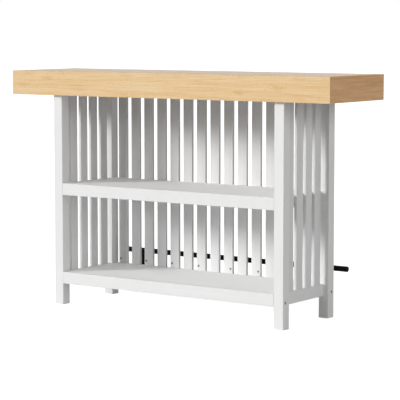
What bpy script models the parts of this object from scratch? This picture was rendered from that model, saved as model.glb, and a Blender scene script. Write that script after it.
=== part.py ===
"""Bar cabinet: a mitred box top on a slatted frame with two shelves and a foot rail.

Metres, +Z up. X is the length, -Y the open front where the staff stand, and
+Y the guests' side with the slatted back and the foot rail. The origin is on
the floor at the centre of the bounding box.
"""
import math

import bmesh
import bpy
from mathutils import Matrix, Vector

# Clearances
FIT = 0.0003
NEST = 0.001

# Box top: mitred boards around a ladder of stringers and crossbars
COUNTER_HEIGHT = 1.070
TOP_LENGTH = 1.700
TOP_DEPTH = 0.450
TOP_THICKNESS = 0.110
TOP_STOCK = 0.016
STRINGER_WIDTH = 0.045
STRINGER_HEIGHT = 0.040

# Frame: square legs, with rails between them
SIDE_OVERHANG = 0.230
LEG_SECTION = 0.048
RAIL_THICKNESS = 0.022
FRONT_RAIL_THICKNESS = 0.036
TOP_RAIL_HEIGHT = 0.052
EASE = 0.0015
TENON_LENGTH = 0.018
TENON_THICKNESS = 0.012
TENON_SHOULDER = 0.006

# Shelves: a board let into its rails, flush with their tops
BOTTOM_SHELF_TOP = 0.151
MIDDLE_SHELF_TOP = 0.559
SHELF_EDGE_HEIGHT = 0.054
SHELF_BOARD = 0.018
FRONT_LEDGE = 0.012

# Slats of the back and side panels
SLAT_WIDTH = 0.049
SLAT_THICKNESS = 0.014
BACK_SLATS = 15
SIDE_SLATS = 4
BACK_END_GAP = 0.021
SIDE_END_GAP = 0.0245
BACK_RECESS = 0.008
SIDE_RECESS = 0.026
STUB_LENGTH = 0.010
STUB_SHOULDER = 0.0035

# Foot rail on two bent strap brackets
TUBE_DIAMETER = 0.025
TUBE_WALL = 0.002
TUBE_HEIGHT = 0.1975
TUBE_REACH = 0.122
CAP_RIM = 0.0025
CAP_DOME = 0.0015
CAP_PLUG = 0.012
BRACKET_INSET = 0.1045
STRAP_WIDTH = 0.030
STRAP_THICKNESS = 0.005
STRAP_BEND = 0.012
SADDLE_THICKNESS = 0.003
PLATE_TOP_DROP = 0.003
ARM_RISE = 0.004

# Leg screws
SCREW_SHANK = 0.006
SCREW_HEAD = 0.013
SCREW_SINK = 0.004
SCREW_LENGTH = 0.056
SCREW_POINT = 0.004

TUBE_SIDES = 32
SCREW_SIDES = 12
BEND_STEPS = 6

# Faces that pieces share, worked out from the sizes above
TOP_UNDER = COUNTER_HEIGHT - TOP_STOCK
FRAME_TOP = TOP_UNDER - STRINGER_HEIGHT
INSIDE_X = TOP_LENGTH / 2 - TOP_STOCK
INSIDE_Y = TOP_DEPTH / 2 - TOP_STOCK
LEG_OUT_X = TOP_LENGTH / 2 - SIDE_OVERHANG
LEG_OUT_Y = INSIDE_Y - NEST
LEG_IN_X = LEG_OUT_X - LEG_SECTION
LEG_IN_Y = LEG_OUT_Y - LEG_SECTION
SIDE_OUT = LEG_OUT_X - SIDE_RECESS
SIDE_SLAT_IN = SIDE_OUT - SLAT_THICKNESS
SIDE_RAIL_IN = SIDE_OUT - RAIL_THICKNESS
BACK_OUT = LEG_OUT_Y - BACK_RECESS
BACK_SLAT_IN = BACK_OUT - SLAT_THICKNESS
BACK_RAIL_IN = BACK_OUT - RAIL_THICKNESS
FRONT_RAIL_IN = -LEG_OUT_Y + FRONT_RAIL_THICKNESS
FRONT_LIP = FRONT_RAIL_IN - FRONT_LEDGE
TOP_RAIL_BOTTOM = FRAME_TOP - TOP_RAIL_HEIGHT
MITRE_FIT = FIT * math.sqrt(2)
TUBE_RADIUS = TUBE_DIAMETER / 2
TUBE_Y = LEG_OUT_Y + TUBE_REACH
SADDLE_IN = TUBE_RADIUS + FIT
SADDLE_OUT = SADDLE_IN + SADDLE_THICKNESS
CENTRE_Y = (TUBE_Y + SADDLE_OUT - TOP_DEPTH / 2) / 2
BRACKET_X = LEG_OUT_X - BRACKET_INSET
BRACKET_BOTTOM = BOTTOM_SHELF_TOP - SHELF_EDGE_HEIGHT + ARM_RISE
SCREW_Y = {-1: -LEG_OUT_Y + FRONT_RAIL_THICKNESS / 2, 1: BACK_OUT - RAIL_THICKNESS / 2}
SCREW_Z = BOTTOM_SHELF_TOP - (SHELF_EDGE_HEIGHT + SHELF_BOARD + FIT) / 2

# Materials


def make_material(name, colour, roughness, metallic):
    """A plain surface: linear colour, roughness and metallic value."""
    made = bpy.data.materials.new(name)
    made.use_nodes = True
    shader = made.node_tree.nodes["Principled BSDF"]
    shader.inputs["Base Color"].default_value = (*colour, 1.0)
    shader.inputs["Roughness"].default_value = roughness
    shader.inputs["Metallic"].default_value = metallic
    return made


# Helpers that build one closed solid each


def point(pair, axis, along):
    """A point from its two cross coordinates and its place along the axis."""
    values = list(pair)
    values.insert(axis, along)
    return values


def prism(bm, outline, axis, start, end):
    """Extrude an outline along an axis; its points lie in the other two axes."""
    base = bm.faces.new([bm.verts.new(point(pair, axis, start)) for pair in outline])
    swept = bmesh.ops.extrude_face_region(bm, geom=[base])
    moved = [item for item in swept["geom"] if isinstance(item, bmesh.types.BMVert)]
    shift = Vector((0.0, 0.0, 0.0))
    shift[axis] = end - start
    bmesh.ops.translate(bm, verts=moved, vec=shift)


def turned(bm, profile, axis, centre, sides):
    """Spin a profile of (radius, place along the axis) round an axis through centre.

    The profile runs from one pole to the other, or round a closed ring section.
    """
    angles = [2 * math.pi * step / sides for step in range(sides)]
    rings = []
    for radius, along in profile:
        if radius == 0.0:
            pole = Vector(centre) + Vector(point((0.0, 0.0), axis, along))
            rings.append([bm.verts.new(pole)] * sides)
            continue
        circle = [(radius * math.cos(angle), radius * math.sin(angle)) for angle in angles]
        rings.append([bm.verts.new(Vector(centre) + Vector(point(pair, axis, along)))
                      for pair in circle])
    closed = profile[0][0] > 0.0
    pairs = list(zip(rings, rings[1:]))
    if closed:
        pairs.append((rings[-1], rings[0]))
    for ring, following in pairs:
        for step in range(sides):
            after = (step + 1) % sides
            corners = [ring[step], ring[after], following[after], following[step]]
            bm.faces.new(list(dict.fromkeys(corners)))


def boxes(corners):
    """Something for combine to draw: separate boxes, each between two corners."""
    def draw(bm):
        for low, high in corners:
            outline = [low[:2], (high[0], low[1]), high[:2], (low[0], high[1])]
            prism(bm, outline, 2, low[2], high[2])
    return draw


def to_mesh(bm, name):
    """Turn the faces outward and hand the solid over as a mesh."""
    bmesh.ops.recalc_face_normals(bm, faces=bm.faces)
    mesh = bpy.data.meshes.new(name)
    bm.to_mesh(mesh)
    bm.free()
    return mesh


def add_piece(name, mesh, surface):
    """Link a named sub-part with its own material."""
    mesh.materials.clear()
    mesh.materials.append(surface)
    piece = bpy.data.objects.new(name, mesh)
    bpy.context.collection.objects.link(piece)
    return piece


def add_prism(name, surface, outline, axis, start, end):
    """A sub-part made of one extruded outline."""
    bm = bmesh.new()
    prism(bm, outline, axis, start, end)
    return add_piece(name, to_mesh(bm, name), surface)


def combine(piece, draw, operation):
    """Join (UNION) or cut out (DIFFERENCE) the solids that draw puts in a mesh."""
    bm = bmesh.new()
    draw(bm)
    tool = bpy.data.objects.new("tool", to_mesh(bm, "tool"))
    bpy.context.collection.objects.link(tool)
    joint = piece.modifiers.new("joint", "BOOLEAN")
    joint.operation = operation
    joint.solver = "EXACT"
    joint.object = tool
    graph = bpy.context.evaluated_depsgraph_get()
    shaped = bpy.data.meshes.new_from_object(piece.evaluated_get(graph))
    piece.modifiers.clear()
    piece.data = shaped
    bpy.data.objects.remove(tool)


def seat(piece):
    """Put the origin at the middle of the piece and hang it on the cabinet."""
    corners = [Vector(corner) for corner in piece.bound_box]
    middle = (corners[0] + corners[6]) / 2
    piece.data.transform(Matrix.Translation(-middle))
    piece.location = middle
    piece.parent = cabinet


def shade_round(piece):
    """Smooth the turned faces and keep the arrises sharp."""
    piece.data.shade_smooth()
    piece.data.set_sharp_from_angle(angle=math.radians(35))


def grown(low, high, margin):
    """The same box, larger by a margin on every side."""
    return [value - margin for value in low], [value + margin for value in high]


def eased(low, high):
    """A rectangle with its four arrises eased."""
    (left, bottom), (right, top) = low, high
    return [(left + EASE, bottom), (right - EASE, bottom), (right, bottom + EASE),
            (right, top - EASE), (right - EASE, top), (left + EASE, top),
            (left, top - EASE), (left, bottom + EASE)]


def rebated(outer, inner, lip, bottom, ledge, top):
    """A rail section with eased outer arrises and a ledge for the shelf board."""
    eased_outer = outer + math.copysign(EASE, inner - outer)
    return [(outer, bottom + EASE), (eased_outer, bottom), (inner, bottom), (inner, ledge),
            (lip, ledge), (lip, top), (eased_outer, top), (outer, top - EASE)]


def spread(count, half_span, end_gap):
    """Centres of slats set evenly between two legs."""
    first = half_span - end_gap - SLAT_WIDTH / 2
    return [-first + 2 * first * index / (count - 1) for index in range(count)]


# The scene starts empty, and one empty object carries every piece
for old in list(bpy.data.objects):
    bpy.data.objects.remove(old)
cabinet = bpy.data.objects.new("cabinet", None)
cabinet.location.y = -CENTRE_Y
bpy.context.collection.objects.link(cabinet)

oak = make_material("light_wood", (0.78, 0.57, 0.33), 0.45, 0.0)
paint = make_material("white_paint", (0.80, 0.80, 0.80), 0.5, 0.0)
black_steel = make_material("black_steel", (0.02, 0.02, 0.02), 0.4, 0.3)
black_plastic = make_material("black_plastic", (0.02, 0.02, 0.02), 0.55, 0.0)
bright_steel = make_material("bright_steel", (0.55, 0.55, 0.56), 0.3, 1.0)


# Box top: each board is the frustum between its outer and its inner face


def mitred_board(name, axis, outer, inner, outer_spans, inner_spans):
    """A board whose edges slope from its outer rectangle to its smaller inner one."""
    bm = bmesh.new()
    loops = []
    for place, (across, upright) in ((outer, outer_spans), (inner, inner_spans)):
        pairs = [(across[0], upright[0]), (across[1], upright[0]),
                 (across[1], upright[1]), (across[0], upright[1])]
        verts = [bm.verts.new(point(pair, axis, place)) for pair in pairs]
        loops += [bm.edges.new((verts[index - 1], verts[index])) for index in range(4)]
    bmesh.ops.bridge_loops(bm, edges=loops)
    bmesh.ops.holes_fill(bm, edges=bm.edges)
    return add_piece(name, to_mesh(bm, name), oak)


def make_top():
    """Mitred boards, and the ladder inside that rests on the frame."""
    half_x = TOP_LENGTH / 2
    half_y = TOP_DEPTH / 2
    foot = COUNTER_HEIGHT - TOP_THICKNESS
    outer_z = (foot, COUNTER_HEIGHT - MITRE_FIT)
    inner_z = (foot, TOP_UNDER - MITRE_FIT)
    seat(mitred_board("top_board", 2, COUNTER_HEIGHT, TOP_UNDER,
                      ((-half_x, half_x), (-half_y, half_y)),
                      ((-INSIDE_X, INSIDE_X), (-INSIDE_Y, INSIDE_Y))))
    for name, side in (("front", -1), ("back", 1)):
        seat(mitred_board("top_fascia_" + name, 1, side * half_y, side * INSIDE_Y,
                          ((-half_x, half_x), outer_z), ((-INSIDE_X, INSIDE_X), inner_z)))
        near = side * (INSIDE_Y - FIT)
        far = side * (INSIDE_Y - FIT - STRINGER_WIDTH)
        reach = INSIDE_X - FIT
        outline = eased((min(near, far), FRAME_TOP), (max(near, far), TOP_UNDER - FIT))
        seat(add_prism("top_stringer_" + name, oak, outline, 0, -reach, reach))
    for name, side in (("left", -1), ("right", 1)):
        outer_y = half_y - MITRE_FIT
        inner_y = INSIDE_Y - MITRE_FIT
        seat(mitred_board("top_fascia_" + name, 0, side * half_x, side * INSIDE_X,
                          ((-outer_y, outer_y), outer_z), ((-inner_y, inner_y), inner_z)))
        near = side * (INSIDE_X - FIT)
        far = side * (INSIDE_X - FIT - STRINGER_WIDTH)
        reach = INSIDE_Y - STRINGER_WIDTH - 2 * FIT
        outline = eased((min(near, far), FRAME_TOP), (max(near, far), TOP_UNDER - FIT))
        seat(add_prism("top_crossbar_" + name, oak, outline, 1, -reach, reach))


# Frame: rails with tenons, and legs with the pockets that take them

pockets = {(x, y): [] for x in (-1, 1) for y in (-1, 1)}
slat_pockets = {}


def end_boxes(axis, start, end, across, upright):
    """The two boxes, one at each end of a rail, with the same section."""
    pair = []
    for side in (-1, 1):
        near, far = sorted((side * start, side * end))
        pair.append((point((across[0], upright[0]), axis, near),
                     point((across[1], upright[1]), axis, far)))
    return pair


def make_rail(name, axis, outline, middle, upright):
    """A rail between two legs, with a tenon on each end, and its pockets noted."""
    face = (LEG_IN_X, LEG_IN_Y)[axis]
    shoulder = face - FIT
    across = (middle - TENON_THICKNESS / 2, middle + TENON_THICKNESS / 2)
    tenons = end_boxes(axis, shoulder - TENON_SHOULDER, face + TENON_LENGTH, across, upright)
    rail = add_prism(name, paint, outline, axis, -shoulder, shoulder)
    combine(rail, boxes(tenons), "UNION")
    if name in slat_pockets:
        combine(rail, boxes(slat_pockets[name]), "DIFFERENCE")
    for side, tenon in zip((-1, 1), tenons):
        fixed = int(math.copysign(1, middle))
        leg = (side, fixed) if axis == 0 else (fixed, side)
        pockets[leg].append(grown(*tenon, FIT))
    return rail


def note_slat_pockets():
    """Work out where the stub tenons of the slats enter the rails."""
    half_width = SLAT_WIDTH / 2 - STUB_SHOULDER + FIT
    back = (BACK_SLAT_IN + STUB_SHOULDER - FIT, BACK_OUT - STUB_SHOULDER + FIT)
    side = (SIDE_SLAT_IN + STUB_SHOULDER - FIT, SIDE_OUT - STUB_SHOULDER + FIT)
    levels = {"bottom": (BOTTOM_SHELF_TOP - STUB_LENGTH - FIT, BOTTOM_SHELF_TOP + SHELF_BOARD),
              "top": (TOP_RAIL_BOTTOM - SHELF_BOARD, TOP_RAIL_BOTTOM + STUB_LENGTH + FIT)}
    for level, (low_z, high_z) in levels.items():
        slat_pockets[level + "_rail_back"] = [
            ((x - half_width, back[0], low_z), (x + half_width, back[1], high_z))
            for x in spread(BACK_SLATS, LEG_IN_X, BACK_END_GAP)]
        for name, sign in (("left", -1), ("right", 1)):
            near, far = sorted((sign * side[0], sign * side[1]))
            slat_pockets[level + "_rail_" + name] = [
                ((near, y - half_width, low_z), (far, y + half_width, high_z))
                for y in spread(SIDE_SLATS, LEG_IN_Y, SIDE_END_GAP)]


def make_rails():
    """Rails of the bottom shelf, the middle shelf and the top of the frame."""
    rails = {}
    side_middle = SIDE_OUT - RAIL_THICKNESS / 2
    back_middle = BACK_OUT - RAIL_THICKNESS / 2
    front_middle = -LEG_OUT_Y + FRONT_RAIL_THICKNESS / 2
    for level, top in (("bottom_rail", BOTTOM_SHELF_TOP), ("middle_rail", MIDDLE_SHELF_TOP)):
        bottom = top - SHELF_EDGE_HEIGHT
        ledge = top - SHELF_BOARD - FIT
        upright = (bottom + TENON_SHOULDER, ledge - TENON_SHOULDER)
        front = rebated(-LEG_OUT_Y, FRONT_RAIL_IN, FRONT_LIP, bottom, ledge, top)
        name = level + "_front"
        rails[name] = make_rail(name, 0, front, front_middle, upright)
        if level == "middle_rail":
            back_face = BACK_SLAT_IN - FIT
            outline = eased((back_face - RAIL_THICKNESS, bottom), (back_face, ledge))
            middle = back_face - RAIL_THICKNESS / 2
            rails["middle_rail_back"] = make_rail("middle_rail_back", 0, outline, middle, upright)
            continue
        back = rebated(BACK_OUT, BACK_RAIL_IN, BACK_SLAT_IN, bottom, ledge, top)
        rails["bottom_rail_back"] = make_rail("bottom_rail_back", 0, back, back_middle, upright)
        for side, sign in (("left", -1), ("right", 1)):
            outline = rebated(sign * SIDE_OUT, sign * SIDE_RAIL_IN, sign * SIDE_SLAT_IN,
                              bottom, ledge, top)
            name = "bottom_rail_" + side
            rails[name] = make_rail(name, 1, outline, sign * side_middle, upright)
    top = FRAME_TOP - FIT
    upright = (TOP_RAIL_BOTTOM + TENON_SHOULDER, top - TENON_SHOULDER)
    front = eased((-LEG_OUT_Y, TOP_RAIL_BOTTOM), (FRONT_RAIL_IN, top))
    rails["top_rail_front"] = make_rail("top_rail_front", 0, front, front_middle, upright)
    back = eased((BACK_RAIL_IN, TOP_RAIL_BOTTOM), (BACK_OUT, top))
    rails["top_rail_back"] = make_rail("top_rail_back", 0, back, back_middle, upright)
    for side, sign in (("left", -1), ("right", 1)):
        near, far = sorted((sign * SIDE_OUT, sign * SIDE_RAIL_IN))
        outline = eased((near, TOP_RAIL_BOTTOM), (far, top))
        name = "top_rail_" + side
        rails[name] = make_rail(name, 1, outline, sign * side_middle, upright)
    return rails


def draw_screw(bm, side_x, side_y, margin):
    """A countersunk screw from a leg's outer side through a tenon into its rail."""
    shank = SCREW_SHANK / 2 + margin
    head = SCREW_HEAD / 2 + margin
    tip = SCREW_LENGTH + margin
    profile = [(0.0, margin), (head, margin), (shank, -SCREW_SINK - margin),
               (shank, SCREW_POINT - tip), (0.0, -tip)]
    inward = [(radius, side_x * along) for radius, along in profile]
    place = (side_x * LEG_OUT_X, SCREW_Y[side_y], SCREW_Z)
    turned(bm, inward, 0, place, SCREW_SIDES)


def make_frame():
    """Rails first, because their tenons decide the pockets in the legs."""
    note_slat_pockets()
    rails = make_rails()
    for name, side_y in (("bottom_rail_front", -1), ("bottom_rail_back", 1)):
        def holes(bm, side=side_y):
            for side_x in (-1, 1):
                draw_screw(bm, side_x, side, FIT)
        combine(rails[name], holes, "DIFFERENCE")
    for rail in rails.values():
        seat(rail)
    for corner, taken in pockets.items():
        side_x, side_y = corner
        near_x, far_x = sorted((side_x * LEG_IN_X, side_x * LEG_OUT_X))
        near_y, far_y = sorted((side_y * LEG_IN_Y, side_y * LEG_OUT_Y))
        name = ("front" if side_y < 0 else "back") + ("_left" if side_x < 0 else "_right")
        leg = add_prism("leg_" + name, paint, eased((near_x, near_y), (far_x, far_y)),
                        2, 0.0, FRAME_TOP - FIT)
        combine(leg, boxes(taken), "DIFFERENCE")
        combine(leg, lambda bm: draw_screw(bm, side_x, side_y, FIT), "DIFFERENCE")
        seat(leg)
        bm = bmesh.new()
        draw_screw(bm, side_x, side_y, 0.0)
        screw = add_piece("leg_screw_" + name, to_mesh(bm, "leg_screw"), bright_steel)
        shade_round(screw)
        seat(screw)


# Shelves


def make_shelves():
    """Two equal boards, notched round the legs, and the cleats of the middle one."""
    wide = SIDE_SLAT_IN - FIT
    narrow = LEG_IN_X - FIT
    ear = LEG_IN_Y - FIT
    front = FRONT_LIP + FIT
    back = BACK_SLAT_IN - FIT
    half = [(narrow, front), (narrow, -ear), (wide, -ear), (wide, ear), (narrow, ear), (narrow, back)]
    outline = half + [(-x, y) for x, y in reversed(half)]
    board = add_prism("bottom_board", paint, outline, 2, BOTTOM_SHELF_TOP - SHELF_BOARD,
                      BOTTOM_SHELF_TOP)
    seat(board)
    upper = add_piece("middle_board", board.data, paint)
    upper.location = board.location
    upper.location.z += MIDDLE_SHELF_TOP - BOTTOM_SHELF_TOP
    upper.parent = cabinet
    low_z = MIDDLE_SHELF_TOP - SHELF_EDGE_HEIGHT
    high_z = MIDDLE_SHELF_TOP - SHELF_BOARD - FIT
    for name, sign in (("left", -1), ("right", 1)):
        near, far = sorted((sign * wide, sign * (wide - RAIL_THICKNESS)))
        outline = eased((near, low_z), (far, high_z))
        seat(add_prism("middle_cleat_" + name, paint, outline, 1, -ear, ear))


# Slats


def slat_mesh():
    """One slat with a stub tenon on each end; its origin is at its bottom shoulder."""
    length = TOP_RAIL_BOTTOM - BOTTOM_SHELF_TOP - 2 * FIT
    half_width = SLAT_WIDTH / 2
    half_thickness = SLAT_THICKNESS / 2
    outline = eased((-half_width, -half_thickness), (half_width, half_thickness))
    slat = add_prism("slat", paint, outline, 2, 0.0, length)
    stub = (half_width - STUB_SHOULDER, half_thickness - STUB_SHOULDER)
    for start, end in ((-STUB_LENGTH, STUB_LENGTH), (length - STUB_LENGTH, length + STUB_LENGTH)):
        combine(slat, boxes([((-stub[0], -stub[1], start), (*stub, end))]), "UNION")
    mesh = slat.data
    bpy.data.objects.remove(slat)
    return mesh


def make_slats():
    """The back panel's slats, then four on each side, all from one mesh."""
    mesh = slat_mesh()
    places = []
    for index, x in enumerate(spread(BACK_SLATS, LEG_IN_X, BACK_END_GAP)):
        places.append(("back_slat_%02d" % (index + 1), x, (BACK_OUT + BACK_SLAT_IN) / 2, 0.0))
    for side, sign in (("left", -1), ("right", 1)):
        x = sign * (SIDE_OUT + SIDE_SLAT_IN) / 2
        for index, y in enumerate(spread(SIDE_SLATS, LEG_IN_Y, SIDE_END_GAP)):
            places.append(("%s_slat_%d" % (side, index + 1), x, y, math.pi / 2))
    for name, x, y, turn in places:
        slat = add_piece(name, mesh, paint)
        slat.location = (x, y, BOTTOM_SHELF_TOP + FIT)
        slat.rotation_euler.z = turn
        slat.parent = cabinet


# Foot rail


def arc(centre, radius, start, end, steps):
    """Points of an arc, from one angle in degrees to another."""
    angles = [math.radians(start + (end - start) * step / steps) for step in range(steps + 1)]
    return [(centre[0] + radius * math.cos(angle), centre[1] + radius * math.sin(angle))
            for angle in angles]


def bracket_outline():
    """Side view (y, z): plate, arm and riser of one bent strap, and its saddle."""
    plate = BACK_OUT + FIT
    top = BOTTOM_SHELF_TOP - PLATE_TOP_DROP
    inner = STRAP_BEND - STRAP_THICKNESS
    first = (plate + STRAP_BEND, BRACKET_BOTTOM + STRAP_BEND)
    last = (TUBE_Y + STRAP_THICKNESS / 2 - STRAP_BEND, BRACKET_BOTTOM + STRAP_BEND)
    tube = (TUBE_Y, TUBE_HEIGHT)
    lean = math.degrees(math.asin(STRAP_THICKNESS / 2 / SADDLE_OUT))
    points = [(plate, top)]
    points += arc(first, STRAP_BEND, 180, 270, BEND_STEPS)
    points += arc(last, STRAP_BEND, 270, 360, BEND_STEPS)
    points += arc(tube, SADDLE_OUT, -90 + lean, 0, BEND_STEPS)
    points += arc(tube, SADDLE_IN, 0, -180, 2 * BEND_STEPS)
    points += arc(tube, SADDLE_OUT, -180, -90 - lean, BEND_STEPS)
    points += arc(last, inner, 360, 270, BEND_STEPS)
    points += arc(first, inner, 270, 180, BEND_STEPS)
    points += [(plate + STRAP_THICKNESS, top)]
    return points


def make_foot_rail():
    """Tube, plugs in its ends, and the two brackets that carry it."""
    reach = LEG_OUT_X - CAP_RIM - CAP_DOME - FIT
    bore = TUBE_RADIUS - TUBE_WALL
    bm = bmesh.new()
    ring = [(TUBE_RADIUS, -reach), (TUBE_RADIUS, reach), (bore, reach), (bore, -reach)]
    turned(bm, ring, 0, (0.0, TUBE_Y, TUBE_HEIGHT), TUBE_SIDES)
    tube = add_piece("foot_rail_tube", to_mesh(bm, "foot_rail_tube"), black_steel)
    shade_round(tube)
    seat(tube)
    for name, sign in (("left", -1), ("right", 1)):
        bm = bmesh.new()
        plug = [(0.0, -CAP_PLUG), (bore - FIT, -CAP_PLUG), (bore - FIT, FIT), (TUBE_RADIUS, FIT),
                (TUBE_RADIUS, FIT + CAP_RIM), (TUBE_RADIUS / 2, FIT + CAP_RIM + CAP_DOME * 0.8),
                (0.0, FIT + CAP_RIM + CAP_DOME)]
        outward = [(radius, sign * along) for radius, along in plug]
        turned(bm, outward, 0, (sign * reach, TUBE_Y, TUBE_HEIGHT), TUBE_SIDES)
        cap = add_piece("foot_rail_cap_" + name, to_mesh(bm, "foot_rail_cap"), black_plastic)
        shade_round(cap)
        seat(cap)
        x = sign * BRACKET_X
        bracket = add_prism("foot_rail_bracket_" + name, black_steel, bracket_outline(), 0,
                            x - STRAP_WIDTH / 2, x + STRAP_WIDTH / 2)
        shade_round(bracket)
        seat(bracket)


make_top()
make_frame()
make_shelves()
make_slats()
make_foot_rail()
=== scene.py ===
import math

import bpy
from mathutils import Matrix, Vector


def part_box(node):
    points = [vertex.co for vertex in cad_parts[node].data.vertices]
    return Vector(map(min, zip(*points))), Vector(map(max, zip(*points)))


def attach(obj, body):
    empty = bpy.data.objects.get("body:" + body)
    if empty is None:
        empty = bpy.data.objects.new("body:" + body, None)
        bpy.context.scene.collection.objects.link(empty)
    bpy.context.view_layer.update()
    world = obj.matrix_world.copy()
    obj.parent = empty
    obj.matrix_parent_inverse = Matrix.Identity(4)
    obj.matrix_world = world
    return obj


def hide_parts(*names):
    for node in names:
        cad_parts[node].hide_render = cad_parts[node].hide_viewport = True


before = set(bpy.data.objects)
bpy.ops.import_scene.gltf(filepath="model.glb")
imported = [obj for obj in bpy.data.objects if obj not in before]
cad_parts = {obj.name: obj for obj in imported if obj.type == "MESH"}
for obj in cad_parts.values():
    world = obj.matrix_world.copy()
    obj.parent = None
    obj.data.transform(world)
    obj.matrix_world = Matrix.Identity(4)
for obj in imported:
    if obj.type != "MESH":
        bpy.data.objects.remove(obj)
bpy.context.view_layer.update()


# Legs. Four square posts of planed pine, sprayed with white satin enamel over
# a primer. The rails have the same finish, with the grain running another way.

def linear(code):
    """An sRGB hex colour as linear RGBA."""
    parts = [int(code[start:start + 2], 16) / 255 for start in (1, 3, 5)]
    return [part / 12.92 if part <= 0.04045 else ((part + 0.055) / 1.055) ** 2.4
            for part in parts] + [1.0]


def add(tree, kind, settings=None, sockets=None):
    """Add a node. A socket takes a value, or the output that feeds it."""
    made = tree.nodes.new(kind)
    for key, value in (settings or {}).items():
        setattr(made, key, value)
    for key, value in (sockets or {}).items():
        if isinstance(value, bpy.types.NodeSocket):
            tree.links.new(value, made.inputs[key])
        else:
            made.inputs[key].default_value = value
    return made


def finish_of(name, **constants):
    """A new finish with its constants set: the material, its tree and its shader."""
    made = bpy.data.materials.new(name)
    made.use_nodes = True
    shader = made.node_tree.nodes["Principled BSDF"]
    for key, value in constants.items():
        shader.inputs[key.replace("_", " ")].default_value = value
    return made, made.node_tree, shader


def drawn_out(grain_axis, width, length):
    """The scale of a pattern this wide across the grain and this long along it."""
    scale = [1 / width] * 3
    scale[grain_axis] = 1 / length
    return scale


def arris_wear(tree, radius, start, end):
    """A mask that rises to 1 on sharp edges, where sanding thins a finish."""
    rounded = add(tree, "ShaderNodeBevel", {"samples": 6}, {"Radius": radius})
    flat = add(tree, "ShaderNodeNewGeometry")
    match = add(tree, "ShaderNodeVectorMath", {"operation": "DOT_PRODUCT"},
                {0: rounded.outputs["Normal"], 1: flat.outputs["True Normal"]})
    return add(tree, "ShaderNodeMapRange", None,
               {"Value": match.outputs["Value"], "From Min": start, "From Max": end,
                "To Min": 0.0, "To Max": 1.0}).outputs["Result"]


# The names of a Mix node's sockets repeat, so its colours go by their places
first_colour, second_colour, mixed_colour = 6, 7, 2


def white_enamel(name, grain_axis, shades, gloss, dullness):
    """White enamel on planed pine: the grain shows faintly through the paint."""
    made, tree, shader = finish_of(name, IOR=1.5, Specular_IOR_Level=gloss)
    place = add(tree, "ShaderNodeTexCoord").outputs["Object"]
    # Grain lines of pine are 1 to 2 mm apart and are drawn 5 mm apart, to show at all
    lines = add(tree, "ShaderNodeMapping", None,
                {"Vector": place, "Scale": drawn_out(grain_axis, width=0.005, length=0.25)})
    grain = add(tree, "ShaderNodeTexNoise", None,
                {"Vector": lines.outputs["Vector"], "Scale": 1.0, "Detail": 4.0,
                 "Roughness": 0.6}).outputs["Fac"]
    # Coats settle unevenly over a hand's width
    cloud = add(tree, "ShaderNodeTexNoise", None,
                {"Vector": place, "Scale": 1 / 0.09, "Detail": 2.0}).outputs["Fac"]
    # The spray dries with a skin of 1.5 mm dimples
    skin = add(tree, "ShaderNodeTexNoise", None,
               {"Vector": place, "Scale": 1 / 0.0015, "Detail": 1.0}).outputs["Fac"]
    # Slats bring a tone of their own, and other pieces have none
    depth = add(tree, "ShaderNodeAttribute", {"attribute_name": "tone"}).outputs["Fac"]
    for pattern, share in ((grain, 0.7), (cloud, 0.3)):
        depth = add(tree, "ShaderNodeMath", {"operation": "MULTIPLY_ADD"},
                    {0: pattern, 1: share, 2: depth}).outputs["Value"]
    darker, lighter = shades
    shade = add(tree, "ShaderNodeMix", {"data_type": "RGBA"},
                {"Factor": depth, first_colour: linear(darker), second_colour: linear(lighter)})
    worn = arris_wear(tree, radius=0.0012, start=0.995, end=0.9)
    rubbed = add(tree, "ShaderNodeMix", {"data_type": "RGBA"},
                 {"Factor": worn, first_colour: shade.outputs[mixed_colour],
                  second_colour: linear("#dcdad5")})
    tree.links.new(rubbed.outputs[mixed_colour], shader.inputs["Base Color"])
    dull = add(tree, "ShaderNodeMapRange", None,
               {"Value": cloud, "From Min": 0.3, "From Max": 0.7,
                "To Min": dullness[0], "To Max": dullness[1]})
    tree.links.new(dull.outputs["Result"], shader.inputs["Roughness"])
    relief = add(tree, "ShaderNodeMath", {"operation": "MULTIPLY_ADD"},
                 {0: skin, 1: 0.25, 2: grain})
    bump = add(tree, "ShaderNodeBump", None,
               {"Strength": 0.35, "Distance": 0.0003, "Height": relief.outputs["Value"]})
    tree.links.new(bump.outputs["Normal"], shader.inputs["Normal"])
    return made


def dress(names, finish):
    """Give CAD nodes whose shape is right their finish."""
    for name in names:
        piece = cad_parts[name]
        piece.data.materials.clear()
        piece.data.materials.append(finish)


# The axes that grain can follow
lengthwise, crosswise, upright = 0, 1, 2

ends = ("front_left", "front_right", "back_left", "back_right")
frame_white = ("#e3e3e2", "#ededed")
satin = {"gloss": 0.35, "dullness": (0.30, 0.40)}
dress(["leg_" + end for end in ends],
      white_enamel("satin_enamel_on_upright_pine", upright, frame_white, **satin))


# Rails. Flat pine bars tenoned into the legs: four at the top, four at the
# bottom, and a front and a back one for the middle shelf, with two cleats
# under its ends. The grain runs along each of them.

enamel_lengthwise = white_enamel("satin_enamel_on_lengthwise_pine", lengthwise, frame_white,
                                 **satin)
enamel_crosswise = white_enamel("satin_enamel_on_crosswise_pine", crosswise, frame_white,
                                **satin)
dress(["top_rail_front", "top_rail_back", "middle_rail_front", "middle_rail_back",
       "bottom_rail_front", "bottom_rail_back"], enamel_lengthwise)
dress(["top_rail_left", "top_rail_right", "bottom_rail_left", "bottom_rail_right",
       "middle_cleat_left", "middle_cleat_right"], enamel_crosswise)


# Shelves. Two pine boards let into their rails, rolled with a scuff-proof
# enamel. It is matt, so nothing mirrors in it. Its white is lighter than the
# frame's: painted light on the shelf tops.

# Painted light: a whiter white than the frame's brightens the shelf tops
shelf_white_painted_light = ("#efefee", "#f7f7f7")
matt = {"gloss": 0.50, "dullness": (0.52, 0.64)}
dress(["bottom_board", "middle_board"],
      white_enamel("matt_enamel_on_shelf_pine_painted_light", lengthwise, shelf_white_painted_light, **matt))
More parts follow.
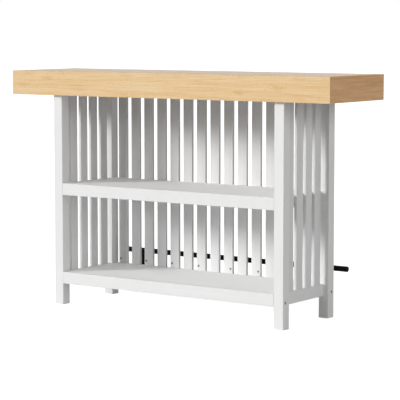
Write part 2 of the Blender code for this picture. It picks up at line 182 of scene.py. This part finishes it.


# Slats. Upright pine boards 14 mm thick, with rounded arrises and a stub tenon
# at each end, set evenly in the back and side panels. Their white is a shade
# greyer than the legs': painted shade that dims their brightly lit faces.

def new_tree(name, inputs):
    """A tree with these inputs: the tree, what the inputs give, and their identifiers."""
    tree = bpy.data.node_groups.new(name, "GeometryNodeTree")
    identifiers = {}
    for label, kind in inputs:
        socket = tree.interface.new_socket(label, in_out="INPUT",
                                           socket_type="NodeSocket" + kind)
        identifiers[label] = socket.identifier
    tree.interface.new_socket("Geometry", in_out="OUTPUT", socket_type="NodeSocketGeometry")
    return tree, add(tree, "NodeGroupInput").outputs, identifiers


def end_tree(tree, instances, finish):
    """End a tree: its instances are made real and get one finish."""
    real = add(tree, "GeometryNodeRealizeInstances", None, {"Geometry": instances})
    dressed = add(tree, "GeometryNodeSetMaterial", None,
                  {"Geometry": real.outputs["Geometry"], "Material": finish})
    add(tree, "NodeGroupOutput", None, {"Geometry": dressed.outputs["Geometry"]})


def slat_tree(finish):
    """Nodes that set out a row of slats from its named sizes."""
    tree, given, identifiers = new_tree("slat_row", (
        ("Slats", "Int"), ("Pitch", "Float"), ("Width", "Float"), ("Thickness", "Float"),
        ("Length", "Float"), ("Arris", "Float"), ("Stub Length", "Float"),
        ("Stub Shoulder", "Float"), ("First Slat", "Vector"), ("Turn", "Vector"),
        ("Seed", "Int")))

    section = add(tree, "GeometryNodeCurvePrimitiveQuadrilateral", None,
                  {"Width": given["Width"], "Height": given["Thickness"]})
    rounded = add(tree, "GeometryNodeFilletCurve", {"mode": "POLY"},
                  {"Curve": section.outputs["Curve"], "Count": 3, "Radius": given["Arris"]})
    top = add(tree, "ShaderNodeCombineXYZ", None, {"Z": given["Length"]})
    stem = add(tree, "GeometryNodeCurvePrimitiveLine", None, {"End": top.outputs["Vector"]})
    board = add(tree, "GeometryNodeCurveToMesh", None,
                {"Curve": stem.outputs["Curve"], "Profile Curve": rounded.outputs["Curve"],
                 "Fill Caps": True})

    narrow = add(tree, "ShaderNodeMath", {"operation": "MULTIPLY_ADD"},
                 {0: given["Stub Shoulder"], 1: -2.0, 2: given["Width"]})
    thin = add(tree, "ShaderNodeMath", {"operation": "MULTIPLY_ADD"},
               {0: given["Stub Shoulder"], 1: -2.0, 2: given["Thickness"]})
    block = add(tree, "ShaderNodeCombineXYZ", None,
                {"X": narrow.outputs["Value"], "Y": thin.outputs["Value"],
                 "Z": given["Stub Length"]})
    stub = add(tree, "GeometryNodeMeshCube", None, {"Size": block.outputs["Vector"]})
    below = add(tree, "ShaderNodeMath", {"operation": "MULTIPLY"},
                {0: given["Stub Length"], 1: -0.5})
    above = add(tree, "ShaderNodeMath", {"operation": "SUBTRACT"},
                {0: given["Length"], 1: below.outputs["Value"]})
    slat = add(tree, "GeometryNodeJoinGeometry")
    tree.links.new(board.outputs["Mesh"], slat.inputs["Geometry"])
    for level in (below, above):
        spot = add(tree, "ShaderNodeCombineXYZ", None, {"Z": level.outputs["Value"]})
        moved = add(tree, "GeometryNodeTransform", None,
                    {"Geometry": stub.outputs["Mesh"], "Translation": spot.outputs["Vector"]})
        tree.links.new(moved.outputs["Geometry"], slat.inputs["Geometry"])

    step = add(tree, "ShaderNodeCombineXYZ", None, {"X": given["Pitch"]})
    row = add(tree, "GeometryNodeMeshLine", None,
              {"Count": given["Slats"], "Offset": step.outputs["Vector"]})
    slats = add(tree, "GeometryNodeInstanceOnPoints", None,
                {"Points": row.outputs["Mesh"], "Instance": slat.outputs["Geometry"]})
    # Each board takes the paint a little differently, by up to a quarter of the
    # way between the two shades. Random Value repeats the names of its sockets,
    # so they go by their places too
    lowest, highest, drawn = 2, 3, 1
    chance = add(tree, "FunctionNodeRandomValue", None,
                 {lowest: -0.25, highest: 0.25, "Seed": given["Seed"]})
    marked = add(tree, "GeometryNodeStoreNamedAttribute", {"domain": "INSTANCE"},
                 {"Geometry": slats.outputs["Instances"], "Name": "tone",
                  "Value": chance.outputs[drawn]})
    placed = add(tree, "GeometryNodeTransform", None,
                 {"Geometry": marked.outputs["Geometry"], "Translation": given["First Slat"],
                  "Rotation": given["Turn"]})
    end_tree(tree, placed.outputs["Geometry"], finish)
    return tree, identifiers


def grow(name, start, grower, sizes):
    """Run a tree with these sizes on a start mesh, and keep the result as a plain mesh."""
    tree, identifiers = grower
    holder = bpy.data.objects.new(name + "_start", start)
    bpy.context.scene.collection.objects.link(holder)
    modifier = holder.modifiers.new("grow", "NODES")
    modifier.node_group = tree
    for label, size in sizes.items():
        modifier[identifiers[label]] = size
    graph = bpy.context.evaluated_depsgraph_get()
    mesh = bpy.data.meshes.new_from_object(holder.evaluated_get(graph),
                                           preserve_all_data_layers=True, depsgraph=graph)
    bpy.data.objects.remove(holder)
    mesh.name = name
    piece = bpy.data.objects.new(name, mesh)
    bpy.context.scene.collection.objects.link(piece)
    return piece


# Painted shade: the slats' white is greyer than the frame's, to dim their lit faces
slat_white_painted_shade = ("#dcdcdb", "#e6e6e6")
slat_row = slat_tree(white_enamel("satin_enamel_on_slats_painted_shade", upright, slat_white_painted_shade, **satin))
slat_arris = 0.0015
stub_length = 0.010
stub_shoulder = 0.0035
for panel, count, first, last, along, seed in (
        ("back_slats", 15, "back_slat_01", "back_slat_15", lengthwise, 3),
        ("left_slats", 4, "left_slat_1", "left_slat_4", crosswise, 5),
        ("right_slats", 4, "right_slat_1", "right_slat_4", crosswise, 8)):
    low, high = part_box(first)
    through = 1 - along
    foot = (low + high) / 2
    foot.z = low.z + stub_length
    slats = grow(panel, bpy.data.meshes.new(panel + "_start"), slat_row, {
        "Slats": count,
        "Pitch": (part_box(last)[0][along] - low[along]) / (count - 1),
        "Width": high[along] - low[along],
        "Thickness": high[through] - low[through],
        "Length": high.z - low.z - 2 * stub_length,
        "Arris": slat_arris,
        "Stub Length": stub_length,
        "Stub Shoulder": stub_shoulder,
        "First Slat": foot,
        "Turn": (0.0, 0.0, along * math.pi / 2),
        "Seed": seed})
    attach(slats, "root")
    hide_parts(*[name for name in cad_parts
                         if name.startswith(first.rstrip("0123456789"))])


# Box top. Boards of pale oak veneer on a 16 mm core, mitred all round into a
# slab 110 mm thick, closed with a clear satin lacquer outside and left bare
# inside. The ladder that carries them is made of bars of the same core.

def lacquered_oak(name, grain_axis, gloss, dark, middle, light):
    """Clear-lacquered oak: silky streaks, a faint flame figure, small burls, open pores."""
    made, tree, shader = finish_of(name, IOR=1.45, Specular_IOR_Level=gloss)
    place = add(tree, "ShaderNodeTexCoord").outputs["Object"]
    # The grain wanders a few millimetres over half a metre
    slow = add(tree, "ShaderNodeMapping", None,
               {"Vector": place, "Scale": drawn_out(grain_axis, width=0.15, length=0.45)})
    drift = add(tree, "ShaderNodeTexNoise", None,
                {"Vector": slow.outputs["Vector"], "Scale": 1.0, "Detail": 2.0})
    drifted = add(tree, "ShaderNodeVectorMath", {"operation": "MULTIPLY_ADD"},
                  {0: drift.outputs["Color"], 1: (0.005, 0.005, 0.005), 2: place})
    # Small burls, about 150 mm apart, throw the grain aside and darken it a little
    sparse = add(tree, "ShaderNodeMapping", None,
                 {"Vector": place, "Scale": drawn_out(grain_axis, width=0.045, length=0.15)})
    burl = add(tree, "ShaderNodeTexVoronoi", None,
               {"Vector": sparse.outputs["Vector"], "Scale": 1.0})
    near_burl = add(tree, "ShaderNodeMapRange", {"interpolation_type": "SMOOTHSTEP"},
                    {"Value": burl.outputs["Distance"], "From Min": 0.0, "From Max": 0.40,
                     "To Min": 1.0, "To Max": 0.0}).outputs["Result"]
    tight = add(tree, "ShaderNodeMapping", None,
                {"Vector": place, "Scale": drawn_out(grain_axis, width=0.014, length=0.045)})
    curl = add(tree, "ShaderNodeTexNoise", None,
               {"Vector": tight.outputs["Vector"], "Scale": 1.0, "Detail": 1.0})
    centred = add(tree, "ShaderNodeVectorMath", {"operation": "SUBTRACT"},
                  {0: curl.outputs["Color"], 1: (0.5, 0.5, 0.5)})
    reach = add(tree, "ShaderNodeMath", {"operation": "MULTIPLY"}, {0: near_burl, 1: 0.032})
    thrown = add(tree, "ShaderNodeVectorMath", {"operation": "SCALE"},
                 {0: centred.outputs["Vector"], "Scale": reach.outputs["Value"]})
    bent = add(tree, "ShaderNodeVectorMath", None,
               {0: drifted.outputs["Vector"], 1: thrown.outputs["Vector"]}).outputs["Vector"]

    def streaks(width, length, detail):
        """Streaks of this size along the bent grain."""
        along = add(tree, "ShaderNodeMapping", None,
                    {"Vector": bent, "Scale": drawn_out(grain_axis, width, length)})
        return add(tree, "ShaderNodeTexNoise", None,
                   {"Vector": along.outputs["Vector"], "Scale": 1.0, "Detail": detail,
                    "Roughness": 0.6}).outputs["Fac"]

    # Fibre bundles are under 1 mm wide and are drawn 4 mm wide, to show at all
    fibres = streaks(width=0.004, length=0.13, detail=3.0)
    # Uneven growth leaves paler bands, 18 mm wide and half a metre long
    bands = streaks(width=0.018, length=0.50, detail=2.0)
    # Plain-sawn growth rings show as long flames, 50 mm across and 1.6 m long
    flame = add(tree, "ShaderNodeMath", {"operation": "MULTIPLY"},
                {0: streaks(width=0.05, length=1.6, detail=0.0), 1: 9.0})
    rings = add(tree, "ShaderNodeMath", {"operation": "FRACT"},
                {0: flame.outputs["Value"]}).outputs["Value"]
    # Pores are 0.3 mm wide and are drawn 0.8 mm wide, to show at all
    pores = add(tree, "ShaderNodeMapRange", None,
                {"Value": streaks(width=0.0008, length=0.012, detail=1.0),
                 "From Min": 0.62, "From Max": 0.70,
                 "To Min": 0.0, "To Max": 1.0}).outputs["Result"]

    # How much each pattern lightens the wood, or darkens it
    depth = 0.0
    for pattern, share in ((fibres, 0.48), (bands, 0.43), (rings, 0.09), (near_burl, -0.13)):
        depth = add(tree, "ShaderNodeMath", {"operation": "MULTIPLY_ADD"},
                    {0: pattern, 1: share, 2: depth}).outputs["Value"]
    ramp = add(tree, "ShaderNodeValToRGB", None, {"Fac": depth})
    stops = ramp.color_ramp.elements
    stops[0].position = 0.33
    stops[0].color = linear(dark)
    stops[1].position = 0.67
    stops[1].color = linear(light)
    stops.new(0.50).color = linear(middle)
    pored = add(tree, "ShaderNodeMix", {"data_type": "RGBA", "blend_type": "MULTIPLY"},
                {"Factor": pores, first_colour: ramp.outputs["Color"],
                 second_colour: linear("#e0d2bf")})
    worn = arris_wear(tree, radius=0.0012, start=0.99, end=0.85)
    rubbed = add(tree, "ShaderNodeMix", {"data_type": "RGBA"},
                 {"Factor": worn, first_colour: pored.outputs[mixed_colour],
                  second_colour: linear(light)})
    tree.links.new(rubbed.outputs[mixed_colour], shader.inputs["Base Color"])
    sheen = add(tree, "ShaderNodeMapRange", None,
                {"Value": fibres, "From Min": 0.3, "From Max": 0.7,
                 "To Min": 0.42, "To Max": 0.32})
    tree.links.new(sheen.outputs["Result"], shader.inputs["Roughness"])
    height = add(tree, "ShaderNodeMath", {"operation": "MULTIPLY_ADD"},
                 {0: pores, 1: -0.6, 2: fibres})
    bump = add(tree, "ShaderNodeBump", None,
               {"Strength": 0.3, "Distance": 0.0002, "Height": height.outputs["Value"]})
    tree.links.new(bump.outputs["Normal"], shader.inputs["Normal"])
    return made


def raw_core():
    """The bare inner face of the veneered boards: brown wood flakes in resin."""
    made, tree, shader = finish_of("bare_particle_board", Roughness=0.85, IOR=1.45)
    place = add(tree, "ShaderNodeTexCoord").outputs["Object"]
    # The flakes of the fine top layer are 2 to 4 mm long
    flakes = add(tree, "ShaderNodeTexVoronoi", None, {"Vector": place, "Scale": 1 / 0.003})
    cloud = add(tree, "ShaderNodeTexNoise", None,
                {"Vector": place, "Scale": 1 / 0.06, "Detail": 3.0})
    depth = add(tree, "ShaderNodeMath", {"operation": "MULTIPLY_ADD"},
                {0: flakes.outputs["Distance"], 1: 0.5, 2: cloud.outputs["Fac"]})
    shade = add(tree, "ShaderNodeMix", {"data_type": "RGBA"},
                {"Factor": depth.outputs["Value"], first_colour: linear("#7d6548"),
                 second_colour: linear("#957a58")})
    tree.links.new(shade.outputs[mixed_colour], shader.inputs["Base Color"])
    bump = add(tree, "ShaderNodeBump", None,
               {"Strength": 0.5, "Distance": 0.0003, "Height": flakes.outputs["Distance"]})
    tree.links.new(bump.outputs["Normal"], shader.inputs["Normal"])
    return made


def eased_copy(node, finish, inside, inward, arris):
    """A copy of a CAD board with its arrises rounded, bare on the face that points inward."""
    piece = bpy.data.objects.new(node + "_board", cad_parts[node].data.copy())
    bpy.context.scene.collection.objects.link(piece)
    weld = piece.modifiers.new("weld", "WELD")
    weld.merge_threshold = 0.00001
    bevel = piece.modifiers.new("arris", "BEVEL")
    bevel.width = arris
    bevel.segments = 2
    bevel.limit_method = "ANGLE"
    bevel.angle_limit = math.radians(30)
    graph = bpy.context.evaluated_depsgraph_get()
    mesh = bpy.data.meshes.new_from_object(piece.evaluated_get(graph))
    piece.modifiers.clear()
    piece.data = mesh
    mesh.materials.clear()
    mesh.materials.append(finish)
    mesh.materials.append(inside)
    for face in mesh.polygons:
        # An arris slopes away from the inner face, and gets the outer finish
        points_inward = face.normal.dot(Vector(inward)) > 0.99
        face.material_index = int(points_inward)
    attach(piece, "root")
    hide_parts(node)


oak_lengthwise = lacquered_oak("lacquered_oak_lengthwise", lengthwise, gloss=0.3,
                               dark="#dab37d", middle="#e4c495", light="#eacfa6")
# The worktop is rubbed smoother. Its colours are darker and greyer than the other
# boards': painted shade for the dim, grey look of its top
oak_worktop_painted_shade = lacquered_oak("lacquered_oak_worktop", lengthwise, gloss=0.5,
                            dark="#b89974", middle="#c5a985", light="#ceb595")
# The end boards have darker, browner colours than the long boards
oak_crosswise = lacquered_oak("lacquered_oak_crosswise", crosswise, gloss=0.15,
                              dark="#d19f6a", middle="#e0ae7d", light="#eabe91")
core = raw_core()
top_arris = 0.0006
for node, finish, inward in (("top_board", oak_worktop_painted_shade, (0, 0, -1)),
                             ("top_fascia_front", oak_lengthwise, (0, 1, 0)),
                             ("top_fascia_back", oak_lengthwise, (0, -1, 0)),
                             ("top_fascia_left", oak_crosswise, (1, 0, 0)),
                             ("top_fascia_right", oak_crosswise, (-1, 0, 0))):
    eased_copy(node, finish, core, inward, top_arris)
dress(["top_stringer_front", "top_stringer_back", "top_crossbar_left",
       "top_crossbar_right"], core)


# Foot rail. A steel tube in two bent straps, powder-coated black, with a
# moulded plug in each end of the tube.

def powder_coat():
    """Black powder coat: an even satin skin with the dimples it gets in the oven."""
    made, tree, shader = finish_of("black_powder_coat", IOR=1.5, Specular_IOR_Level=0.06)
    place = add(tree, "ShaderNodeTexCoord").outputs["Object"]
    # The dimples of powder coat are 1 to 2 mm across
    dimples = add(tree, "ShaderNodeTexNoise", None,
                  {"Vector": place, "Scale": 1 / 0.0016, "Detail": 2.0})
    # Handling dulls it in patches of 30 mm
    scuffs = add(tree, "ShaderNodeTexNoise", None,
                 {"Vector": place, "Scale": 1 / 0.03, "Detail": 4.0, "Roughness": 0.7})
    worn = arris_wear(tree, radius=0.0008, start=0.98, end=0.8)
    shade = add(tree, "ShaderNodeMix", {"data_type": "RGBA"},
                {"Factor": worn, first_colour: linear("#080808"),
                 second_colour: linear("#161615")})
    tree.links.new(shade.outputs[mixed_colour], shader.inputs["Base Color"])
    dull = add(tree, "ShaderNodeMapRange", None,
               {"Value": scuffs.outputs["Fac"], "From Min": 0.3, "From Max": 0.7,
                "To Min": 0.45, "To Max": 0.58})
    tree.links.new(dull.outputs["Result"], shader.inputs["Roughness"])
    bump = add(tree, "ShaderNodeBump", None,
               {"Strength": 0.3, "Distance": 0.0002, "Height": dimples.outputs["Fac"]})
    tree.links.new(bump.outputs["Normal"], shader.inputs["Normal"])
    return made


def moulded_plastic():
    """Black polyethylene from a spark-eroded mould: a fine matt texture."""
    made, tree, shader = finish_of("black_moulded_polyethylene", IOR=1.5,
                                   Specular_IOR_Level=0.06)
    place = add(tree, "ShaderNodeTexCoord").outputs["Object"]
    # Spark erosion leaves pits of about 0.1 mm, drawn 0.5 mm wide
    pits = add(tree, "ShaderNodeTexNoise", None,
               {"Vector": place, "Scale": 1 / 0.0005, "Detail": 2.0}).outputs["Fac"]
    shade = add(tree, "ShaderNodeMix", {"data_type": "RGBA"},
                {"Factor": pits, first_colour: linear("#070707"),
                 second_colour: linear("#101010")})
    tree.links.new(shade.outputs[mixed_colour], shader.inputs["Base Color"])
    dull = add(tree, "ShaderNodeMapRange", None, {"Value": pits, "To Min": 0.5, "To Max": 0.68})
    tree.links.new(dull.outputs["Result"], shader.inputs["Roughness"])
    bump = add(tree, "ShaderNodeBump", None,
               {"Strength": 0.4, "Distance": 0.0001, "Height": pits})
    tree.links.new(bump.outputs["Normal"], shader.inputs["Normal"])
    return made


coat = powder_coat()
dress(["foot_rail_tube", "foot_rail_bracket_left", "foot_rail_bracket_right"], coat)
dress(["foot_rail_cap_left", "foot_rail_cap_right"], moulded_plastic())


# Screws. Zinc-plated steel ones: countersunk through the outer sides of the
# legs, and small and domed low in every second back slat. Two more, coated
# black like the foot rail, hold each of its brackets.

def zinc_plate():
    """Bright zinc plate on a turned head: fine scratches break up its shine."""
    made, tree, shader = finish_of("zinc_plate", Metallic=1.0)
    place = add(tree, "ShaderNodeTexCoord").outputs["Object"]
    # Tumbling leaves marks of about 0.2 mm, drawn 0.6 mm wide
    marks = add(tree, "ShaderNodeTexNoise", None,
                {"Vector": place, "Scale": 1 / 0.0006, "Detail": 3.0}).outputs["Fac"]
    shade = add(tree, "ShaderNodeMix", {"data_type": "RGBA"},
                {"Factor": marks, first_colour: linear("#707174"),
                 second_colour: linear("#8e8e8c")})
    tree.links.new(shade.outputs[mixed_colour], shader.inputs["Base Color"])
    dull = add(tree, "ShaderNodeMapRange", None,
               {"Value": marks, "To Min": 0.35, "To Max": 0.55})
    tree.links.new(dull.outputs["Result"], shader.inputs["Roughness"])
    bump = add(tree, "ShaderNodeBump", None,
               {"Strength": 0.2, "Distance": 0.0001, "Height": marks})
    tree.links.new(bump.outputs["Normal"], shader.inputs["Normal"])
    return made


def screw_tree(name, finish):
    """Nodes that set a screw with a cross recess on every point, facing its way."""
    tree, given, identifiers = new_tree(name, (
        ("Points", "Geometry"), ("Head Diameter", "Float"), ("Neck Diameter", "Float"),
        ("Head Depth", "Float"), ("Rise", "Float"), ("Dome", "Float"),
        ("Shank Diameter", "Float"), ("Length", "Float"), ("Recess Length", "Float"),
        ("Recess Width", "Float"), ("Recess Depth", "Float")))

    def shifted(shape, height, scale=(1.0, 1.0, 1.0), turn=(0.0, 0.0, 0.0)):
        """A shape scaled, turned and moved to a height on the screw's axis."""
        spot = add(tree, "ShaderNodeCombineXYZ", None, {"Z": height})
        return add(tree, "GeometryNodeTransform", None,
                   {"Geometry": shape, "Translation": spot.outputs["Vector"],
                    "Rotation": turn, "Scale": scale}).outputs["Geometry"]

    radius = {}
    for part in ("Head", "Neck", "Shank"):
        radius[part] = add(tree, "ShaderNodeMath", {"operation": "MULTIPLY"},
                           {0: given[part + " Diameter"], 1: 0.5}).outputs["Value"]
    below = add(tree, "ShaderNodeMath", {"operation": "SUBTRACT"},
                {0: given["Rise"], 1: given["Head Depth"]}).outputs["Value"]
    cone = add(tree, "GeometryNodeMeshCone", None,
               {"Vertices": 32, "Radius Top": radius["Head"],
                "Radius Bottom": radius["Neck"], "Depth": given["Head Depth"]})
    ball = add(tree, "GeometryNodeMeshUVSphere", None,
               {"Segments": 32, "Rings": 16, "Radius": radius["Head"]})
    squash = add(tree, "ShaderNodeMath", {"operation": "DIVIDE"},
                 {0: given["Dome"], 1: radius["Head"]})
    # The dome is a hair narrower than the cone, so that their rims don't coincide
    flat = add(tree, "ShaderNodeCombineXYZ", None,
               {"X": 0.998, "Y": 0.998, "Z": squash.outputs["Value"]})
    head = add(tree, "GeometryNodeMeshBoolean", {"operation": "UNION", "solver": "EXACT"})
    tree.links.new(shifted(cone.outputs["Mesh"], below), head.inputs["Mesh 2"])
    tree.links.new(shifted(ball.outputs["Mesh"], given["Rise"], flat.outputs["Vector"]),
                   head.inputs["Mesh 2"])

    # The cross recess: two crossed blades, half of each sunk in the top of the dome
    deep = add(tree, "ShaderNodeMath", {"operation": "MULTIPLY"},
               {0: given["Recess Depth"], 1: 2.0})
    blade_size = add(tree, "ShaderNodeCombineXYZ", None,
                     {"X": given["Recess Length"], "Y": given["Recess Width"],
                      "Z": deep.outputs["Value"]})
    blade = add(tree, "GeometryNodeMeshCube", None, {"Size": blade_size.outputs["Vector"]})
    peak = add(tree, "ShaderNodeMath", {"operation": "ADD"},
               {0: given["Rise"], 1: given["Dome"]}).outputs["Value"]
    cut = add(tree, "GeometryNodeMeshBoolean", {"operation": "DIFFERENCE", "solver": "EXACT"},
              {"Mesh 1": head.outputs["Mesh"]})
    for turn in (0.0, math.pi / 2):
        tree.links.new(shifted(blade.outputs["Mesh"], peak, turn=(0.0, 0.0, turn)),
                       cut.inputs["Mesh 2"])

    rod = add(tree, "GeometryNodeMeshCylinder", None,
              {"Vertices": 16, "Radius": radius["Shank"], "Depth": given["Length"]})
    rod_middle = add(tree, "ShaderNodeMath", {"operation": "MULTIPLY_ADD"},
                     {0: given["Length"], 1: -0.5, 2: below}).outputs["Value"]
    screw = add(tree, "GeometryNodeJoinGeometry")
    tree.links.new(cut.outputs["Mesh"], screw.inputs["Geometry"])
    tree.links.new(shifted(rod.outputs["Mesh"], rod_middle), screw.inputs["Geometry"])

    facing = add(tree, "GeometryNodeInputNamedAttribute", {"data_type": "FLOAT_VECTOR"},
                 {"Name": "facing"})
    aim = add(tree, "FunctionNodeAlignRotationToVector", {"axis": "Z"},
              {"Vector": facing.outputs["Attribute"]})
    screws = add(tree, "GeometryNodeInstanceOnPoints", None,
                 {"Points": given["Points"], "Instance": screw.outputs["Geometry"],
                  "Rotation": aim.outputs["Rotation"]})
    end_tree(tree, screws.outputs["Instances"], finish)
    return tree, identifiers


def points_facing(name, spots):
    """A start mesh of loose points, each with the way that its screw faces."""
    mesh = bpy.data.meshes.new(name)
    mesh.from_pydata([spot for spot, facing in spots], [], [])
    ways = mesh.attributes.new("facing", "FLOAT_VECTOR", "POINT")
    for index, (spot, facing) in enumerate(spots):
        ways.data[index].vector = facing
    return mesh


zinc_screws = screw_tree("zinc_screws", zinc_plate())
black_screws = screw_tree("black_screws", coat)

leg_spots = []
for end in ends:
    low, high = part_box("leg_screw_" + end)
    outward = math.copysign(1.0, low.x + high.x)
    leg_face = high.x if outward > 0 else low.x
    leg_spots.append(((leg_face, (low.y + high.y) / 2, (low.z + high.z) / 2),
                      (outward, 0.0, 0.0)))
leg_screws = grow("leg_screws", points_facing("leg_points", leg_spots), zinc_screws, {
    "Head Diameter": 0.013, "Neck Diameter": 0.006, "Head Depth": 0.004,
    "Rise": 0.0, "Dome": 0.0002, "Shank Diameter": 0.006, "Length": 0.050,
    "Recess Length": 0.0068, "Recess Width": 0.0015, "Recess Depth": 0.0028})
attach(leg_screws, "root")
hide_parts(*["leg_screw_" + end for end in ends])

# The slat screws sit left of the middle up to the seventh slat, then right of it
left_of_middle, right_of_middle = -0.014, 0.013
slat_screw_height = 0.173
slat_spots = []
for number in range(1, 16, 2):
    low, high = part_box("back_slat_%02d" % number)
    across = left_of_middle if number <= 7 else right_of_middle
    slat_spots.append((((low.x + high.x) / 2 + across, low.y, slat_screw_height),
                       (0.0, -1.0, 0.0)))
slat_screws = grow("slat_screws", points_facing("slat_points", slat_spots), zinc_screws, {
    "Head Diameter": 0.0100, "Neck Diameter": 0.0100, "Head Depth": 0.0008,
    "Rise": 0.0008, "Dome": 0.0010, "Shank Diameter": 0.0040, "Length": 0.010,
    "Recess Length": 0.0054, "Recess Width": 0.0012, "Recess Depth": 0.0013})
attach(slat_screws, "root")

# Two screws hold each strap, 10 and 26 mm below the top edge of its plate
strap_top = 0.148
strap_thickness = 0.005
strap_spots = []
for side in ("left", "right"):
    low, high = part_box("foot_rail_bracket_" + side)
    for drop in (0.010, 0.026):
        strap_spots.append((((low.x + high.x) / 2, low.y + strap_thickness,
                             strap_top - drop), (0.0, 1.0, 0.0)))
strap_screws = grow("strap_screws", points_facing("strap_points", strap_spots), black_screws, {
    "Head Diameter": 0.0080, "Neck Diameter": 0.0080, "Head Depth": 0.0010,
    "Rise": 0.0010, "Dome": 0.0012, "Shank Diameter": 0.0040, "Length": 0.022,
    "Recess Length": 0.0046, "Recess Width": 0.0010, "Recess Depth": 0.0014})
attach(strap_screws, "root")


# Studio. A pale floor in a white room, five soft lamps of which the key stands
# low at the front left, and a camera at the photograph's viewing angle.

def plainly_seen(tree):
    """1 on camera, glossy and transmission rays, and 0 on the rays that carry light."""
    path = add(tree, "ShaderNodeLightPath").outputs
    seen = path["Is Camera Ray"]
    for kind in ("Is Glossy Ray", "Is Transmission Ray"):
        seen = add(tree, "ShaderNodeMath", {"operation": "MAXIMUM"},
                   {0: seen, 1: path[kind]}).outputs["Value"]
    return seen


def white_room():
    """The camera and reflections see plain white; the lamps do all the lighting."""
    world = bpy.data.worlds.new("white_room")
    world.use_nodes = True
    tree = world.node_tree
    tree.nodes.clear()
    white = add(tree, "ShaderNodeBackground", None,
                {"Color": linear("#ffffff"), "Strength": plainly_seen(tree)})
    add(tree, "ShaderNodeOutputWorld", None, {"Surface": white.outputs["Background"]})
    bpy.context.scene.world = world


def pale_floor(reach):
    """A matt floor that the camera sees as white, apart from the object's shadow."""
    made = bpy.data.materials.new("pale_floor_paint")
    made.use_nodes = True
    tree = made.node_tree
    tree.nodes.clear()
    # Where the lamps reach the paint, it and its lift add up to white
    paint = add(tree, "ShaderNodeBsdfDiffuse", None, {"Color": linear("#cfcfcf")})
    lift = add(tree, "ShaderNodeEmission", None, {"Strength": 0.84})
    bright = add(tree, "ShaderNodeAddShader", None,
                 {0: paint.outputs["BSDF"], 1: lift.outputs["Emission"]})
    both = add(tree, "ShaderNodeMixShader", None,
               {0: plainly_seen(tree), 1: paint.outputs["BSDF"], 2: bright.outputs["Shader"]})
    add(tree, "ShaderNodeOutputMaterial", None, {"Surface": both.outputs["Shader"]})
    mesh = bpy.data.meshes.new("floor")
    mesh.from_pydata([(-reach, -reach, 0.0), (reach, -reach, 0.0), (reach, reach, 0.0),
                      (-reach, reach, 0.0)], [], [(0, 1, 2, 3)])
    mesh.materials.append(made)
    floor = bpy.data.objects.new("floor", mesh)
    bpy.context.scene.collection.objects.link(floor)


def lamp(name, heading, height, spread, strength, mirrored=False):
    """A distant soft box: its light's heading, its height and its spread, in degrees."""
    made = bpy.data.objects.new(name, bpy.data.lights.new(name, "SUN"))
    made.data.energy = strength
    made.data.angle = math.radians(spread)
    # Only a mirrored lamp is seen in reflections
    made.visible_glossy = mirrored
    turn = math.radians(heading)
    drop = math.radians(height)
    way = (math.sin(turn) * math.cos(drop), math.cos(turn) * math.cos(drop), -math.sin(drop))
    made.rotation_euler = Vector(way).to_track_quat("-Z", "Y").to_euler()
    bpy.context.scene.collection.objects.link(made)


white_room()
pale_floor(reach=60.0)
lamp("key", heading=42.0, height=21.0, spread=16.0, strength=2.36, mirrored=True)
lamp("front_box", heading=11.0, height=18.0, spread=20.0, strength=0.34)
lamp("right_box", heading=-80.0, height=14.0, spread=40.0, strength=1.10)
lamp("back_box", heading=160.0, height=14.0, spread=40.0, strength=1.42)
lamp("top_box", heading=0.0, height=50.0, spread=40.0, strength=0.58)

# It stands to the right of the open front, turned 35 degrees left and tilted
# 5.9 degrees down
turn, tilt = 0.610207, 0.102178
camera = bpy.data.objects.new("camera", bpy.data.cameras.new("camera"))
camera.data.sensor_width = 36.0
camera.data.lens = 155.65
camera.location = (4.44657, -6.35001, 1.28839)
camera.rotation_euler = (math.pi / 2 - tilt, 0.0, turn)
bpy.context.scene.collection.objects.link(camera)
bpy.context.scene.camera = camera
bpy.context.scene.view_settings.view_transform = "Standard"
